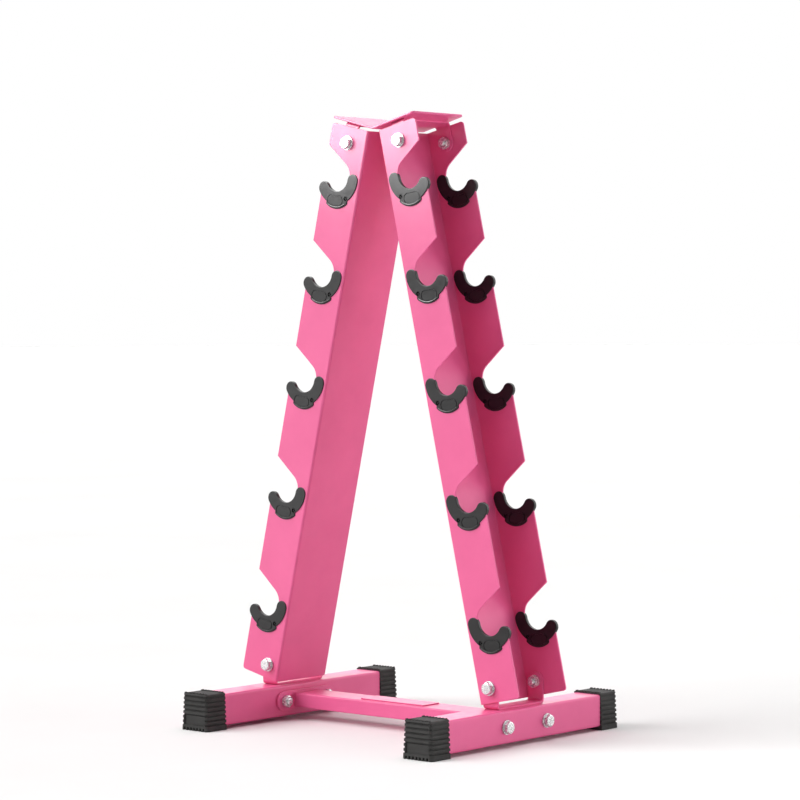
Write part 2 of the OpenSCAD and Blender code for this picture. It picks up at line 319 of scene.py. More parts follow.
def fill_loops(loops, creases):
    """Triangles of the area inside the loops, with edges along the creases of the first axis."""
    points, edges = [], []
    for p in loops:
        base = len(points)
        points += [Vector(q) for q in p]
        edges += [(base + i, base + (i + 1) % len(p)) for i in range(len(p))]
    low = min(q.y for q in points) - 1
    high = max(q.y for q in points) + 1
    for u in creases:
        edges.append((len(points), len(points) + 1))
        points += [Vector((u, low)), Vector((u, high))]
    verts, _, faces, *_ = geometry.delaunay_2d_cdt(points, edges, [], 0, 1e-6)
    v = np.array([(q.x, q.y) for q in verts])
    f = np.array([list(t) for t in faces])
    f = f[lie_inside(v[f].mean(1), loops)]
    a, b, c = v[f[:, 0]], v[f[:, 1]], v[f[:, 2]]
    area = (b[:, 0] - a[:, 0]) * (c[:, 1] - a[:, 1]) - (c[:, 0] - a[:, 0]) * (b[:, 1] - a[:, 1])
    f = f[np.abs(area) > 1e-9]
    area = area[np.abs(area) > 1e-9]
    f[area < 0] = f[area < 0][:, ::-1]
    used = np.unique(f)
    index = np.full(len(v), -1)
    index[used] = np.arange(len(used))
    return v[used], index[f]


def rim_of(flat, tris):
    """Edges at the rim of a triangulated area, and the mitred outward normal at their points."""
    directed = {(int(t[i]), int(t[(i + 1) % 3])) for t in tris for i in range(3)}
    rim = sorted(e for e in directed if (e[1], e[0]) not in directed)
    normal_in, normal_out = {}, {}
    for i, j in rim:
        d = flat[j] - flat[i]
        n = np.array([d[1], -d[0]]) / np.linalg.norm(d)
        normal_out[i], normal_in[j] = n, n
    mitre = {}
    for i in sorted(normal_out):
        a, b = normal_in[i], normal_out[i]
        mitre[i] = (a + b) / max(0.3, 1 + float(a @ b))
    return rim, mitre


def sheet_data(outer, holes, thickness, edge, path, axes, steps=3):
    """Closed solid of a sheet cut to an outline and bent along a path, its edges rounded.

    The outline's first axis runs along the path, and its second across. Axes are the two vectors
    of the plane that the path lies in. Returns points and faces.
    """
    loops = [inset(turned(outer, True), edge)] + [inset(turned(h, False), edge) for h in holes]
    flat, tris = fill_loops(loops, path.creases)
    count = len(flat)
    rim, mitre = rim_of(flat, tris)
    half = thickness / 2
    if edge > 0:
        turn = [math.pi / 2 * k / steps for k in range(steps + 1)]
        rings = [(edge * math.sin(a), half - edge + edge * math.cos(a)) for a in turn]
        rings += [(out, -w) for out, w in reversed(rings)]
    else:
        rings = [(0.0, half), (0.0, -half)]
    coords = [(p[0], p[1], half) for p in flat] + [(p[0], p[1], -half) for p in flat]
    ring_index = [{i: i for i in mitre}]
    for out, w in rings[1:-1]:
        ring_index.append({i: len(coords) + k for k, i in enumerate(mitre)})
        coords += [(*(flat[i] + mitre[i] * out), w) for i in mitre]
    ring_index.append({i: i + count for i in mitre})
    faces = [tuple(int(x) for x in t) for t in tris]
    faces += [tuple(int(x) + count for x in t[::-1]) for t in tris]
    for upper, lower in zip(ring_index, ring_index[1:]):
        faces += [(upper[i], lower[i], lower[j], upper[j]) for i, j in rim]
    first, second = Vector(axes[0]), Vector(axes[1])
    across = second.cross(first)
    verts = []
    for u, v, w in coords:
        point, normal = path.at(u)
        verts.append(
            first * (point[0] + normal[0] * w) + second * (point[1] + normal[1] * w) + across * v
        )
    return verts, faces


def flat_path(length):
    """Path of a sheet with no bends, its middle at zero."""
    return Path((-length / 2, 0.0), 0.0, [length])


def flat_data(outer, holes, thickness, edge, axes, steps=3):
    """Flat sheet whose outline is about its middle."""
    reach = 2 * float(np.abs(np.array(outer)[:, 0]).max()) + 2
    shifted = [(x + reach / 2, y) for x, y in outer]
    moved = [[(x + reach / 2, y) for x, y in h] for h in holes]
    return sheet_data(shifted, moved, thickness, edge, flat_path(reach), axes, steps)


# ---- rings and fasteners ----

def ring_stack(rings, closed=True):
    """Faces that join rings of equal counts of points, and close the first and the last."""
    count = len(rings[0])
    verts = [Vector(p) for ring in rings for p in ring]
    faces = []
    for r in range(len(rings) - 1):
        a, b = r * count, (r + 1) * count
        faces += [(a + i, a + (i + 1) % count, b + (i + 1) % count, b + i) for i in range(count)]
    if closed:
        last = (len(rings) - 1) * count
        faces += [tuple(range(count))[::-1], tuple(range(last, last + count))]
    return verts, faces


def flipped(data):
    """The same mesh with its faces turned over."""
    verts, faces = data
    return verts, [face[::-1] for face in faces]


HEX_STEPS = 48
HEX_TURN = [2 * math.pi * i / HEX_STEPS for i in range(HEX_STEPS)]


def hex_radius(angle, apothem):
    """Distance from the middle of a hexagon to its side."""
    return apothem / math.cos((angle % (math.pi / 3)) - math.pi / 6)


def hex_ring(apothem, level, chamfer_radius=None, sign=1):
    """Ring of a hexagonal prism; with a chamfer it falls away where the corners pass a circle."""
    out = []
    for a in HEX_TURN:
        r = hex_radius(a, apothem)
        past = 0 if chamfer_radius is None else max(0, r - chamfer_radius)
        out.append((r * math.cos(a), r * math.sin(a), level - sign * past * HEX_CHAMFER))
    return out


def round_ring(radius, level):
    """Circle of as many points as a hexagonal ring."""
    return [(radius * math.cos(a), radius * math.sin(a), level) for a in HEX_TURN]


def thread_rings(start, end, per_turn=8):
    """Rings of a right-hand thread, going down from start to end and running out at both."""
    count = math.ceil((start - end) / THREAD_PITCH * per_turn)
    rings = []
    for k in range(count + 1):
        z = start + (end - start) * k / count
        fade = min(1.0, (start - z) / THREAD_PITCH, (z - end) / (0.5 * THREAD_PITCH) + 0.35)
        ring = []
        for a in HEX_TURN:
            phase = (z / THREAD_PITCH - a / (2 * math.pi)) % 1.0
            r = BOLT / 2 - THREAD_DEPTH * fade * abs(2 * phase - 1)
            ring.append((r * math.cos(a), r * math.sin(a), z))
        rings.append(ring)
    return rings


def bolt_data(grip):
    """Hex bolt with its head's underside at zero, shank down, and a visible length of thread."""
    apothem = FLATS / 2
    crown = apothem * 0.93
    length = grip + NUT + TAIL
    rings = [
        round_ring(0.9, HEAD), round_ring(crown - 0.25, HEAD), round_ring(crown, HEAD - 0.05),
        hex_ring(apothem, HEAD - 0.12, crown), hex_ring(apothem, 0.25),
        hex_ring(apothem - 0.2, 0.0), round_ring(BOLT / 2, 0.0), round_ring(BOLT / 2, -grip),
    ]
    rings += thread_rings(-grip - 0.2, -length + 0.7)
    rings += [round_ring(BOLT / 2 - 0.95, -length), round_ring(0.6, -length)]
    return ring_stack(rings[::-1])


def nut_data():
    """Hex nut from zero up to its height, with a hole chamfered at both ends."""
    apothem = FLATS / 2
    crown = apothem * 0.94
    bore = BOLT / 2 + 0.02
    bevel = 1.0
    rings = [
        round_ring(bore, bevel), round_ring(bore + bevel, 0.0), round_ring(crown, 0.0),
        hex_ring(apothem, 0.1, crown, -1), hex_ring(apothem, NUT - 0.1, crown),
        round_ring(crown, NUT), round_ring(bore + bevel, NUT), round_ring(bore, NUT - bevel),
    ]
    verts, faces = ring_stack(rings, closed=False)
    count, last = HEX_STEPS, (len(rings) - 1) * HEX_STEPS
    faces += [(last + i, last + (i + 1) % count, (i + 1) % count, i) for i in range(count)]
    return verts, faces


# ---- meshes and objects ----

def join(parts):
    """One set of points and faces out of several, each with its own placing matrix."""
    verts, faces = [], []
    for (v, f), matrix in parts:
        base = len(verts)
        verts += [matrix @ Vector(p) for p in v]
        flip = matrix.determinant() < 0
        faces += [tuple(base + i for i in (face[::-1] if flip else face)) for face in f]
    return verts, faces


def add_object(name, data):
    """New object in the scene around a mesh, a light or a camera."""
    obj = bpy.data.objects.new(name, data)
    bpy.context.scene.collection.objects.link(obj)
    return obj


def new_object(name, data, smooth_angle=40.0):
    """Mesh object in metres from points in millimetres, with soft shading across small angles."""
    verts, faces = data
    mesh = bpy.data.meshes.new(name)
    mesh.from_pydata([tuple(Vector(v) * MM) for v in verts], [], faces)
    mesh.validate()
    bm = bmesh.new()
    bm.from_mesh(mesh)
    bmesh.ops.remove_doubles(bm, verts=bm.verts, dist=1e-6)
    bm.to_mesh(mesh)
    bm.free()
    obj = add_object(name, mesh)
    soften(obj, smooth_angle)
    return obj


def soften(obj, angle):
    """Smooth shading, but for edges sharper than an angle in degrees."""
    mesh = obj.data
    mesh.polygons.foreach_set("use_smooth", [True] * len(mesh.polygons))
    mesh.set_sharp_from_angle(angle=math.radians(angle))
    mesh.update()


def weigh_normals(obj):
    """Lets large flat faces keep flat shading beside their rounded edges."""
    m = obj.modifiers.new("weighted", "WEIGHTED_NORMAL")
    m.keep_sharp = True
    m.weight = 80


def face_outwards(obj):
    """Turns the faces of a closed mesh outwards."""
    bm = bmesh.new()
    bm.from_mesh(obj.data)
    bmesh.ops.recalc_face_normals(bm, faces=bm.faces)
    bm.to_mesh(obj.data)
    bm.free()
    return obj


def cut(obj, cutter, operation="DIFFERENCE"):
    """Applies an exact boolean to obj and removes the cutter."""
    m = obj.modifiers.new("cut", "BOOLEAN")
    m.operation = operation
    m.solver = "EXACT"
    m.object = cutter
    bpy.context.view_layer.update()
    done = obj.evaluated_get(bpy.context.evaluated_depsgraph_get())
    mesh = bpy.data.meshes.new_from_object(done)
    obj.modifiers.clear()
    old, obj.data = obj.data, mesh
    bpy.data.meshes.remove(old)
    bpy.data.objects.remove(cutter)


def place(obj, matrix):
    """Writes a placing matrix, given in millimetres, into the mesh."""
    m = matrix.copy()
    m.translation = m.translation * MM
    obj.data.transform(m)
    if m.determinant() < 0:
        obj.data.flip_normals()
    return obj


def copy_of(obj, name, matrix):
    """Copy of a master and its modifiers, placed by a matrix in millimetres."""
    twin = add_object(name, obj.data.copy())
    twin.data.name = name
    for m in obj.modifiers:
        new = twin.modifiers.new(m.name, m.type)
        new.keep_sharp, new.weight = m.keep_sharp, m.weight
    return place(twin, matrix)


def hand_in(obj, material, slot, *nodes):
    """Gives a piece its material and its body, and hides the CAD nodes that it stands for. The
    slot is not used.
    """
    obj.data.materials.clear()
    obj.data.materials.append(material)
    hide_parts(*nodes)
    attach(obj, "root")


# ---- materials ----

# Darker and lighter colour of each material, in linear RGB
COAT_COLOURS = ((0.755, 0.113, 0.285), (0.815, 0.131, 0.318))
CAP_COLOURS = ((0.041, 0.040, 0.039), (0.060, 0.059, 0.058))
SADDLE_COLOURS = ((0.0095, 0.0092, 0.0095), (0.016, 0.0155, 0.016))
ZINC_COLOURS = ((0.60, 0.61, 0.62), (0.78, 0.79, 0.79))
FLOOR_COLOURS = ((0.81, 0.805, 0.80), (0.83, 0.825, 0.82))


class Nodes:
    """Small helper that adds nodes to a material and joins them."""

    def __init__(self, name):
        self.material = bpy.data.materials.new(name)
        self.material.use_nodes = True
        self.tree = self.material.node_tree
        self.tree.nodes.clear()
        self.out = self.tree.nodes.new("ShaderNodeOutputMaterial")
        self.shader = self.tree.nodes.new("ShaderNodeBsdfPrincipled")
        self.join(self.shader.outputs["BSDF"], self.out.inputs["Surface"])
        self.where = self.tree.nodes.new("ShaderNodeTexCoord").outputs["Object"]

    def join(self, a, b):
        self.tree.links.new(a, b)

    def feed(self, socket, value):
        """Joins a value to one of the shader's sockets."""
        self.join(value, self.shader.inputs[socket])

    def noise(self, scale, detail=3.0, roughness=0.5, stretch=None):
        """Noise in the object's own metres, so a scale of 100 has features of about 10 mm."""
        node = self.tree.nodes.new("ShaderNodeTexNoise")
        node.inputs["Scale"].default_value = scale
        node.inputs["Detail"].default_value = detail
        node.inputs["Roughness"].default_value = roughness
        source = self.where
        if stretch:
            mapping = self.tree.nodes.new("ShaderNodeMapping")
            mapping.inputs["Scale"].default_value = stretch
            self.join(source, mapping.inputs["Vector"])
            source = mapping.outputs["Vector"]
        self.join(source, node.inputs["Vector"])
        return node.outputs["Fac"]

    def ramp(self, value, colours, ends=(0.3, 0.7)):
        """Colour that goes from the first to the second as the value passes between its ends."""
        node = self.tree.nodes.new("ShaderNodeValToRGB")
        for element, position, colour in zip(node.color_ramp.elements, ends, colours):
            element.position = position
            element.color = (*colour, 1.0)
        self.join(value, node.inputs["Fac"])
        return node.outputs["Color"]

    def spread(self, value, low, high):
        """Number from low to high that follows a noise."""
        node = self.tree.nodes.new("ShaderNodeMapRange")
        node.inputs["From Min"].default_value = 0.3
        node.inputs["From Max"].default_value = 0.7
        node.inputs["To Min"].default_value = low
        node.inputs["To Max"].default_value = high
        self.join(value, node.inputs["Value"])
        return node.outputs["Result"]

    def bump(self, value, strength, distance, before=None):
        """Normal bent by a value's slope, on top of an earlier bump."""
        node = self.tree.nodes.new("ShaderNodeBump")
        node.inputs["Strength"].default_value = strength
        node.inputs["Distance"].default_value = distance
        self.join(value, node.inputs["Height"])
        if before is not None:
            self.join(before, node.inputs["Normal"])
        return node.outputs["Normal"]


def powder_coat():
    """Semi-gloss pink powder coat: orange peel, faint thickness clouds and fine specks."""
    n = Nodes("pink_powder_coat")
    clouds = n.noise(14.0, detail=4.0, roughness=0.6)
    n.feed("Base Color", n.ramp(clouds, COAT_COLOURS))
    n.feed("Roughness", n.spread(n.noise(90.0), low=0.34, high=0.42))
    n.shader.inputs["Specular IOR Level"].default_value = 0.36
    peel = n.bump(n.noise(420.0, detail=2.0, roughness=0.45), strength=0.06, distance=0.0006)
    specks = n.noise(1600.0, detail=2.0)
    n.feed("Normal", n.bump(specks, strength=0.05, distance=0.0002, before=peel))
    return n.material


def moulded_plastic(name, colours, rough, grain, specular):
    """Black moulded plastic with a spark-eroded grain and slight flow marks."""
    n = Nodes(name)
    flow = n.noise(35.0, detail=4.0, roughness=0.6, stretch=(1.0, 1.0, 2.5))
    n.feed("Base Color", n.ramp(flow, colours, ends=(0.32, 0.68)))
    n.feed("Roughness", n.spread(n.noise(160.0), low=rough - 0.05, high=rough + 0.06))
    n.shader.inputs["Specular IOR Level"].default_value = specular
    fine = n.bump(n.noise(1500.0, detail=2.0, roughness=0.6), strength=grain, distance=0.0003)
    coarse = n.noise(320.0, detail=2.0)
    n.feed("Normal", n.bump(coarse, strength=grain * 0.6, distance=0.0004, before=fine))
    return n.material


def zinc_plate():
    """Bright zinc plate: cloudy passivation, small dull patches and fine drawing marks."""
    n = Nodes("zinc_plate")
    clouds = n.noise(220.0, detail=4.0, roughness=0.65)
    n.feed("Base Color", n.ramp(clouds, ZINC_COLOURS))
    n.shader.inputs["Metallic"].default_value = 0.65
    n.feed("Roughness", n.spread(n.noise(500.0), low=0.20, high=0.34))
    marks = n.noise(900.0, roughness=0.6, stretch=(1.0, 1.0, 6.0))
    n.feed("Normal", n.bump(marks, strength=0.12, distance=0.0002))
    return n.material


def studio_floor():
    """Matt white floor with a trace of unevenness."""
    n = Nodes("studio_floor")
    n.feed("Base Color", n.ramp(n.noise(3.0), FLOOR_COLOURS))
    n.feed("Roughness", n.spread(n.noise(20.0), low=0.75, high=0.85))
    n.shader.inputs["Specular IOR Level"].default_value = 0.2
    return n.material


PINK = powder_coat()
CAP_PLASTIC = moulded_plastic(
    "cap_plastic", CAP_COLOURS, rough=0.66, grain=0.12, specular=0.08)
SADDLE_PLASTIC = moulded_plastic(
    "saddle_plastic", SADDLE_COLOURS, rough=0.34, grain=0.04, specular=0.34)
ZINC = zinc_plate()


# ---- placing ----

def on_leg(side):
    """Matrix of a leg's frame: X out from the web, Y across, Z up the leg from its top."""
    right = (
        Matrix.Translation((TOP_HALF_GAP, 0, UPRIGHT_TOP)) @ Matrix.Rotation(-LEAN, 4, "Y")
    )
    return right if side == "right" else Matrix.Rotation(HALF_TURN, 4, "Z") @ right


def on_side(side):
    """Half turn about the middle of the rack for the left side."""
    return Matrix.Identity(4) if side == "right" else Matrix.Rotation(HALF_TURN, 4, "Z")


def in_rack(point):
    """Place in the rack, as (x, z), of a point (t, s) of the right leg."""
    v = on_leg("right") @ Vector((point[0], 0, -point[1]))
    return v.x, v.z


TOP_BOLT_AT = in_rack(TOP_BOLT)
FOOT_BOLT_AT = in_rack(FOOT_BOLT)
FOOT_X = FOOT_BOLT_AT[0]
END_PLATE_X = FOOT_X - TUBE / 2 - END_PLATE


def add_coated(name, data, matrix, node):
    """Coated steel piece, placed by a matrix, that stands for one CAD node."""
    obj = new_object(name, data)
    weigh_normals(obj)
    hand_in(place(obj, matrix), PINK, "pink_coat", node)


# ---- uprights ----

def notch_edge(seat):
    """Free edge past one notch in (t, s), from the straight edge above it to the lip below."""
    centre = np.array([SEAT_OUT, -seat])
    rise = (FLANGE, -seat + NOTCH_RISE)
    lip = tuple(centre + polar(NOTCH + LIP, LIP_ANGLE))
    points = [rise] + arc(centre + (0, SEAT_DROP), NOTCH, NOTCH_START, -90, 3.5)
    points += arc(centre, NOTCH, -90, LIP_ANGLE, 3.5)
    points += arc(lip, LIP, LIP_ANGLE + 180, 90, 8.0)
    return [(t, -v) for t, v in points]


def free_edge():
    """Free edge of a flange in (t, s) from its top corner to its bottom corner."""
    inner = FLANGE - FREE_CORNER
    top = arc((inner, -FREE_CORNER), FREE_CORNER, 180, 90, 11.25)
    bottom = arc((inner, FREE_CORNER - LEG_LENGTH), FREE_CORNER, 90, 0, 11.25)
    points = [(t, -v) for t, v in top]
    for seat in SEAT_DOWN:
        points += notch_edge(seat)
    return points + [(t, -v) for t, v in bottom]


def upright_data():
    """Channel bent from one blank: flange, web and flange side by side, then folded twice."""
    flat = FLANGE - BEND_OUTER
    web = CHANNEL - 2 * BEND_OUTER
    path = Path((FLANGE, (SHEET - CHANNEL) / 2), 180,
                [flat, (BEND_MIDDLE, -90), web, (BEND_MIDDLE, -90), flat])
    edge = free_edge()
    outline = [(FLANGE - t, s) for t, s in edge]
    outline += [(path.length - FLANGE + t, s) for t, s in reversed(edge)]
    holes = []
    peg = polar(PEG_RADIUS, PEG_ANGLE)
    pegs = [(SEAT_OUT + peg[0], seat - peg[1], PEG + PEG_PLAY) for seat in SEAT_DOWN]
    bolts = [(*at, HOLE / 2) for at in (TOP_BOLT, FOOT_BOLT)]
    for t, s, radius in bolts + pegs:
        holes += [circle((FLANGE - t, s), radius, HOLE_STEPS),
                  circle((path.length - FLANGE + t, s), radius, HOLE_STEPS)]
    return sheet_data(outline, holes, SHEET, SHEET_EDGE, path, ((1, 0, 0), (0, 1, 0)))


def make_uprights():
    """Both channels, each in its leg's frame."""
    for side in SIDES:
        add_coated(side + "_upright_channel", upright_data(), on_leg(side), side + "_upright")


# ---- saddles ----

def bulge_radius(angle):
    """Radius of the bulge's edge about the seat: a flatter arc than the band's."""
    middle = (BULGE_FROM + BULGE_TO) / 2
    share = (angle - middle) / (BULGE_TO - middle)
    return BULGE_OUTER + BULGE_SWELL - BULGE_SAG * share * share


def cheek_loop():
    """Outline of a saddle's cheek about the seat centre."""
    end = bulge_radius(BULGE_TO)
    # Step up to the bulge, as (degrees into the bulge, radius): a hollow corner, then a round tip
    step = ((-1.8, BAND_OUTER + 0.05), (-0.8, BAND_OUTER + 0.4), (-0.2, BAND_OUTER + 1.1),
            (0.0, end - 1.0), (0.5, end - 0.4), (1.4, end))
    clear = 3.0
    tip, count = step[-1][0], 16
    points = arc((0, 0), BAND_OUTER, INNER_HORN, BULGE_FROM - clear)
    points += [polar(r, BULGE_FROM + turn) for turn, r in step]
    for k in range(1, count):
        angle = BULGE_FROM + tip + (BULGE_TO - BULGE_FROM - 2 * tip) * k / count
        points.append(polar(bulge_radius(angle), angle))
    points += [polar(r, BULGE_TO - turn) for turn, r in step[::-1]]
    points += arc((0, 0), BAND_OUTER, BULGE_TO + clear, OUTER_HORN)
    points += arc(polar(BAND_MIDDLE, OUTER_HORN), BAND / 2, OUTER_HORN, OUTER_HORN + 180, 9)
    points += arc((0, 0), LINING, OUTER_HORN, INNER_HORN)
    points += arc(polar(BAND_MIDDLE, INNER_HORN), BAND / 2, INNER_HORN + 180, INNER_HORN + 360, 9)
    return points


def bent_stadium(middle, half, start, end):
    """Band about the seat centre with round ends."""
    points = arc((0, 0), middle + half, start, end)
    points += arc(polar(middle, end), half, end, end + 180, 12)
    points += arc((0, 0), middle - half, end, start)
    points += arc(polar(middle, start), half, start + 180, start + 360, 12)
    return points


def flange_near_seat():
    """The flange about one seat, as far as a saddle reaches."""
    reach, left, low, rise = FLANGE - SEAT_OUT, -45.0, -60.0, 24.0
    lip = polar(NOTCH + LIP, LIP_ANGLE)
    points = [(left, low), (reach, low)]
    points += arc(lip, LIP, 90, LIP_ANGLE + 180, 8.0)
    points += arc((0, 0), NOTCH, LIP_ANGLE, -90, 3.5)
    points += arc((0, SEAT_DROP), NOTCH, -90, NOTCH_START, 3.5)
    tangent = points[-1]
    points.append((tangent[0] + (rise - tangent[1]) / math.tan(NOTCH_SLOPE), rise))
    points.append((left, rise))
    return points


def seat_slab(name, outer, holes, thickness, edge, shift=0.0, steps=3):
    """Flat slab parallel to a flange, with its outline in (out, up) about the seat."""
    outer, *holes = [[(x, -y) for x, y in loop] for loop in (outer, *holes)]
    verts, faces = flat_data(outer, holes, thickness, edge, ((1, 0, 0), (0, 1, 0)), steps)
    return new_object(name, ([v + Vector((0, shift, 0)) for v in verts], faces))


def sink(body, name, sign, depth, outer, inner):
    """Sinks the ring between two outlines into the cheek on the side of the sign."""
    over = 0.1
    level = sign * (SADDLE_WIDTH - depth + over) / 2
    cut(body, seat_slab(name, outer, [inner], depth + over, 0.0, level))


def bead_data(level):
    """Thin round rib that follows the edge of the bulge, at a level across the flange."""
    start, end = BULGE_FROM + BEAD_MARGIN, BULGE_TO - BEAD_MARGIN
    turn = [2 * math.pi * k / 8 for k in range(8)]
    count = 20
    rings = []
    for k in range(count + 1):
        angle = start + (end - start) * k / count
        out = np.array(polar(1.0, angle))
        x, z = out * (bulge_radius(angle) - BEAD_INSET)
        size = BEAD * (0.3 if k in (0, count) else 1.0)
        rings.append([
            (x + out[0] * size * math.cos(a), level + size * math.sin(a),
             z + out[1] * size * math.cos(a)) for a in turn
        ])
    return ring_stack(rings)


def master_saddle():
    """Saddle that clips over a flange: two cheeks, a lined seat, a peg, a panel and a bead."""
    peg = polar(PEG_RADIUS, PEG_ANGLE)
    body = seat_slab("saddle", cheek_loop(), [], SADDLE_WIDTH, SADDLE_EDGE, steps=4)
    cut(body, seat_slab("slot", flange_near_seat(), [circle(peg, PEG, HOLE_STEPS)],
                        SHEET + SLOT_PLAY, 0.0))
    for sign in (-1, 1):
        sink(body, "panel_edge", sign, PANEL_SUNK,
             bent_stadium(PANEL_MIDDLE, PANEL_HALF, *PANEL_TURN),
             bent_stadium(PANEL_MIDDLE, PANEL_HALF - PANEL_LINE, *PANEL_TURN))
        sink(body, "peg_hole", sign, PEG_SUNK,
             circle(peg, PEG - PEG_PLAY, HOLE_STEPS), circle(peg, PEG_CORE, 16))
        bead = new_object("bead", bead_data(sign * SADDLE_WIDTH / 2))
        cut(body, face_outwards(bead), "UNION")
    soften(body, 35)
    weigh_normals(body)
    return body


def make_saddles():
    """Twenty copies of the saddle, one over each notch."""
    master = master_saddle()
    for side in SIDES:
        for face in FACES:
            middle = (CHANNEL - SHEET) / 2 * (-1 if face == "front" else 1)
            across = middle if side == "right" else -middle
            for tier in range(TIERS):
                spot = Matrix.Translation((SEAT_OUT, across, -SEAT_DOWN[tier]))
                ending = f"{side}_{face}_{tier + 1}"
                obj = copy_of(master, "saddle_trim_" + ending, on_leg(side) @ spot)
                hand_in(obj, SADDLE_PLASTIC, "saddle_plastic", "saddle_" + ending)
    bpy.data.objects.remove(master)


# ---- top plate and straps ----

def plate_data():
    """Top plate: one strip folded to a shallow V with a rounded valley."""
    slope = math.degrees(PLATE_SLOPE)
    half = PLATE_HALF_SPAN / math.cos(PLATE_SLOPE)
    straight = half - (PLATE / 2 + PLATE_VALLEY) * math.tan(PLATE_SLOPE)
    start = (
        -half * math.cos(PLATE_SLOPE) + PLATE / 2 * math.sin(PLATE_SLOPE),
        PLATE_Z + half * math.sin(PLATE_SLOPE) + PLATE / 2 * math.cos(PLATE_SLOPE),
    )
    path = Path(start, -slope, [straight, (PLATE_VALLEY, 2 * slope), straight])
    outline = rounded_rect(path.length, PLATE_DEPTH, PLATE_CORNER, (path.length / 2, 0))
    return sheet_data(outline, [], PLATE, PLATE_EDGE, path, ((1, 0, 0), (0, 0, 1)))


def strap_data(width, reach):
    """U strap: base under Z = 0 across Y, tabs hanging to round ends about their bolt holes."""
    half = CHANNEL / 2 - SHEET
    outer = STRAP_BEND + STRAP
    tab = reach + width / 2 - outer
    base = 2 * (half - outer)
    fold = (STRAP_BEND + STRAP / 2, -90)
    path = Path((STRAP / 2 - half, -reach - width / 2), 90, [tab, fold, base, fold, tab])
    outline = stadium(path.length, width, (path.length / 2, 0))
    holes = [circle((u, 0), HOLE / 2, HOLE_STEPS) for u in (width / 2, path.length - width / 2)]
    return sheet_data(outline, holes, STRAP, STRAP_EDGE, path, ((0, 1, 0), (0, 0, 1)))


def make_top():
    """The top plate, and the straps that hang square to its slopes."""
    add_coated("top_plate_folded", plate_data(), Matrix.Identity(4), "top_plate")
    x, z = TOP_BOLT_AT
    under = (x * math.tan(PLATE_SLOPE) + PLATE_Z - z) * math.cos(PLATE_SLOPE)
    along = x / math.cos(PLATE_SLOPE) - under * math.tan(PLATE_SLOPE)
    spot = Matrix.Translation((0, 0, PLATE_Z)) @ Matrix.Rotation(-PLATE_SLOPE, 4, "Y")
    spot = spot @ Matrix.Translation((along, 0, 0))
    for side in SIDES:
        add_coated(side + "_top_strap", strap_data(TOP_STRAP_WIDTH, under),
                   on_side(side) @ spot, side + "_top_bracket")


def make_foot_straps():
    """The same straps upside down, on top of the foot tubes."""
    reach = FOOT_BOLT_AT[1] - TUBE_TOP
    spot = Matrix.Translation((FOOT_X, 0, TUBE_TOP)) @ Matrix.Rotation(HALF_TURN, 4, "X")
    for side in SIDES:
        add_coated(side + "_foot_strap", strap_data(FOOT_STRAP_WIDTH, reach),
                   on_side(side) @ spot, side + "_foot_bracket")


# ---- end caps ----

def rib_groove(z):
    """Depth share of the grooves between the ribs at a height, from 0 to 1."""
    phase = abs(((z - GROOVE_START) / GROOVE_PITCH + 0.5) % 1.0 - 0.5) * 2
    return math.sqrt(max(0.0, 1 - (phase / GROOVE_SHARE) ** 2))


def cap_outline():
    """Points about a cap at unit taper: (x, y, nx, ny, depth share), the end face at y = 0."""
    half, r = CAP_HALF_BASE, CAP_CORNER
    out = []
    side = END_PANEL_HALF
    across = [-side - 0.3, -side + 0.3, -12, -8, -4, 0, 4, 8, 12, side - 0.3, side + 0.3]
    for x in across:
        out.append((x, 0.0, 0.0, -1.0, 1.1 if abs(x) < side else 0.9))
    for k in range(9):
        a = math.radians(11.25 * k)
        point = (half - r + r * math.sin(a), r - r * math.cos(a))
        out.append((*point, math.sin(a), -math.cos(a), 0.8))
    for y in np.linspace(r + 1.2, CAP_LENGTH, 10):
        out.append((half, float(y), 1.0, 0.0, 1.0))
    mirrored = [(-x, y, -nx, ny, d) for x, y, nx, ny, d in reversed(out[len(across):])]
    return out + mirrored


def cap_body_data():
    """Outer skin of an end cap, built level by level: drafted, ribbed, with a sunk end panel."""
    top = CAP_TOP - RIB_HEIGHT
    shoulder = top - CAP_EDGE
    foot_height, foot_depth = CAP_FOOT
    levels = [0.0, 0.25, foot_height] + list(np.arange(1.2, shoulder, CAP_LEVEL_STEP))
    levels += [shoulder + CAP_EDGE * math.sin(math.radians(a)) for a in range(0, 91, 15)]
    rings = []
    for z in levels:
        draft = (CAP_HALF_BASE - CAP_HALF_TOP) * z / top
        pull = 0.0
        if z > shoulder:
            pull = CAP_EDGE - math.sqrt(max(0.0, CAP_EDGE ** 2 - (z - shoulder) ** 2))
        if z < foot_height:
            pull = foot_depth * (1 - z / foot_height)
        wall = CAP_HALF_BASE - draft - TUBE / 2 - CAP_LEAST_WALL
        groove = rib_groove(z) if GROOVES_FROM < z < shoulder + 0.3 else 0.0
        ring = []
        for x, y, nx, ny, share in cap_outline():
            is_end = ny < -0.99
            depth = groove * share * (GROOVE if ny < -0.5 else min(GROOVE, wall))
            amount = draft * (CAP_END_DRAFT if is_end else 1.0) + pull + depth
            if is_end and z < END_GROOVES_FROM:
                amount -= depth
            if is_end and abs(x) < END_PANEL_HALF and END_PANEL_Z[0] < z < END_PANEL_Z[1]:
                amount += END_PANEL_SUNK
            ring.append((x - nx * amount, y - ny * amount, z))
        rings.append(ring)
    return ring_stack(rings)


def box_data(low, high):
    """Plain block used only for cutting."""
    (a, b, c), (d, e, f) = low, high
    rings = [[(a, b, z), (d, b, z), (d, e, z), (a, e, z)] for z in (c, f)]
    return ring_stack(rings)


